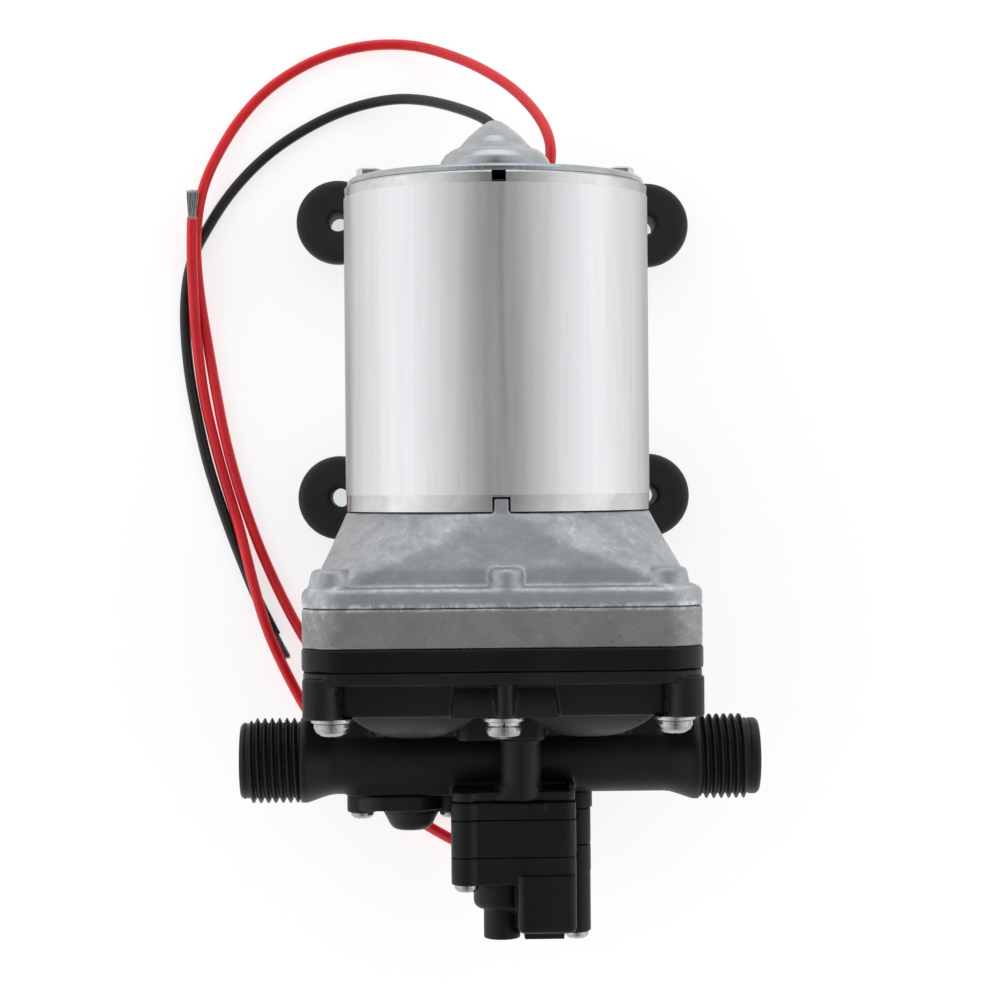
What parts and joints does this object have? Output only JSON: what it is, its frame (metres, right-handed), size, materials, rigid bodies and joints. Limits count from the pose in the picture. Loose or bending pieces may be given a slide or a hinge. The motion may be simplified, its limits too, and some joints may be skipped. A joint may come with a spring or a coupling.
{
  "type": "caravan water pump",
  "caption": "Diaphragm water pump on rubber feet: cylindrical motor, cast drive housing, black pump head with threaded ports, pressure switch and loose supply leads.",
  "frame": {"origin": "centre of the four mounting holes, on the plane of the feet's undersides", "axes": "+Y along the motor axis towards the motor's rear, +X along the manifold towards the outlet port, +Z away from the mounting surface"},
  "size_m": [0.148, 0.2303, 0.1041],
  "materials": {
    "zinc_plated_can": "bright zinc plate",
    "foil_label": "satin foil",
    "zinc_end_bell": "bright zinc plate",
    "sintered_bronze": "matte",
    "plated_steel": "zinc plate",
    "ferrite": "matte",
    "phenolic": "matte",
    "brass": "satin",
    "carbon": "matte",
    "spring_steel": "bright",
    "black_rubber": "matte",
    "foot_rubber": "matte",
    "ground_steel": "ground",
    "bearing_steel": "polished",
    "laminated_steel": "stacked laminations",
    "enamelled_copper": "enamelled",
    "commutator_copper": "turned",
    "cast_aluminium_drive": "sealed die casting",
    "cast_aluminium_plate": "rough die casting",
    "zinc_casting": "die casting",
    "glass_filled_nylon": "moulded",
    "stainless_screws": "satin",
    "stainless_washers": "satin",
    "valve_housing_black": "moulded",
    "pump_head_black": "moulded",
    "switch_black": "moulded",
    "acetal": "moulded",
    "adjuster_steel": "plated",
    "switch_body": "moulded",
    "red_insulation": "PVC insulation",
    "black_insulation": "PVC insulation",
    "tinned_copper": "tinned strands"
  },
  "bodies": {
    "pump": {"motor_can": "zinc_plated_can", "rating_label": "foil_label", "rear_end_bell": "zinc_end_bell", "rear_bush": "sintered_bronze", "bush_retainer": "plated_steel", "base_plate": "plated_steel", "through_bolts": "plated_steel", "field_magnets": "ferrite", "brush_card": "phenolic", "brush_holders": "brass", "switch_terminals": "brass", "lead_connectors": "brass", "brush_spring_upper": "spring_steel", "brush_spring_lower": "spring_steel", "bypass_spring": "spring_steel", "switch_spring": "spring_steel", "lead_grommets": "black_rubber", "diaphragm": "black_rubber", "head_seal": "black_rubber", "inlet_valves": "black_rubber", "outlet_valve": "black_rubber", "bypass_seal": "black_rubber", "switch_diaphragm": "black_rubber", "rubber_feet": "foot_rubber", "front_bearing": "bearing_steel", "drive_housing": "cast_aluminium_drive", "diaphragm_plate": "cast_aluminium_plate", "head_screws": "stainless_screws", "bypass_screws": "stainless_screws", "switch_screws": "stainless_screws", "head_washers": "stainless_washers", "valve_housing": "valve_housing_black", "pump_head": "pump_head_black", "manifold_ports": "pump_head_black", "bypass_cover": "pump_head_black", "switch_base": "switch_black", "switch_housing": "switch_black", "switch_cover": "switch_black", "micro_switch": "switch_body", "red_link_lead": "red_insulation", "red_supply_lead": "red_insulation", "black_supply_lead": "black_insulation", "bare_lead_ends": "tinned_copper"},
    "rotor": {"armature_shaft": "ground_steel", "armature_stack": "laminated_steel", "armature_winding": "enamelled_copper", "commutator": "commutator_copper", "front_bearing_inner": "bearing_steel", "swash_hub": "zinc_casting", "swash_bearing_inner": "bearing_steel"},
    "wobble": {"swash_bearing": "bearing_steel", "wobble_plate": "glass_filled_nylon", "pistons": "glass_filled_nylon", "piston_screws": "stainless_screws"},
    "bypass_valve": {"bypass_poppet": "acetal"},
    "plunger": {"switch_plunger": "acetal"},
    "button": {"switch_button": "acetal"},
    "adjuster": {"pressure_adjuster": "adjuster_steel"},
    "upper_brush": {"brush_upper": "carbon"},
    "lower_brush": {"brush_lower": "carbon"}
  },
  "joints": [
    {"name": "rotor_spin", "type": "hinge", "parent": "pump", "child": "rotor", "pos_m": [0, 0, 0.058], "axis": [0, 1, 0], "continuous": true},
    {"name": "wobble_nutation", "type": "hinge", "parent": "rotor", "child": "wobble", "pos_m": [0, -0.056, 0.058], "axis": [0.061, 0.9981, 0], "continuous": true, "deforming": ["diaphragm"]},
    {"name": "bypass_poppet_slide", "type": "slide", "parent": "pump", "child": "bypass_valve", "axis": [0, -1, 0], "range_m": [0, 0.0017], "stiffness_N_per_m": 600, "springref_m": -0.003, "deforming": ["bypass_spring"]},
    {"name": "switch_plunger_slide", "type": "slide", "parent": "pump", "child": "plunger", "axis": [0, -1, 0], "range_m": [0, 0.0012], "stiffness_N_per_m": 1500, "springref_m": -0.002, "deforming": ["switch_spring", "switch_diaphragm"]},
    {"name": "switch_button_slide", "type": "slide", "parent": "pump", "child": "button", "axis": [0, -1, 0], "range_m": [0, 0.0012]},
    {"name": "pressure_adjuster_turn", "type": "hinge", "parent": "pump", "child": "adjuster", "pos_m": [0, -0.1351, 0.0665], "axis": [0, 1, 0], "range_deg": [-180, 180]},
    {"name": "brush_upper_slide", "type": "slide", "parent": "pump", "child": "upper_brush", "axis": [0, 0, 1], "range_m": [0, 0.004], "stiffness_N_per_m": 300, "springref_m": -0.004, "deforming": ["brush_spring_upper"]},
    {"name": "brush_lower_slide", "type": "slide", "parent": "pump", "child": "lower_brush", "axis": [0, 0, -1], "range_m": [0, 0.004], "stiffness_N_per_m": 300, "springref_m": -0.004, "deforming": ["brush_spring_lower"]}
  ],
  "couplings": [
    {"joint": "wobble_nutation", "follows": "rotor_spin", "ratio": -1},
    {"joint": "switch_button_slide", "follows": "switch_plunger_slide", "ratio": 1}
  ]
}
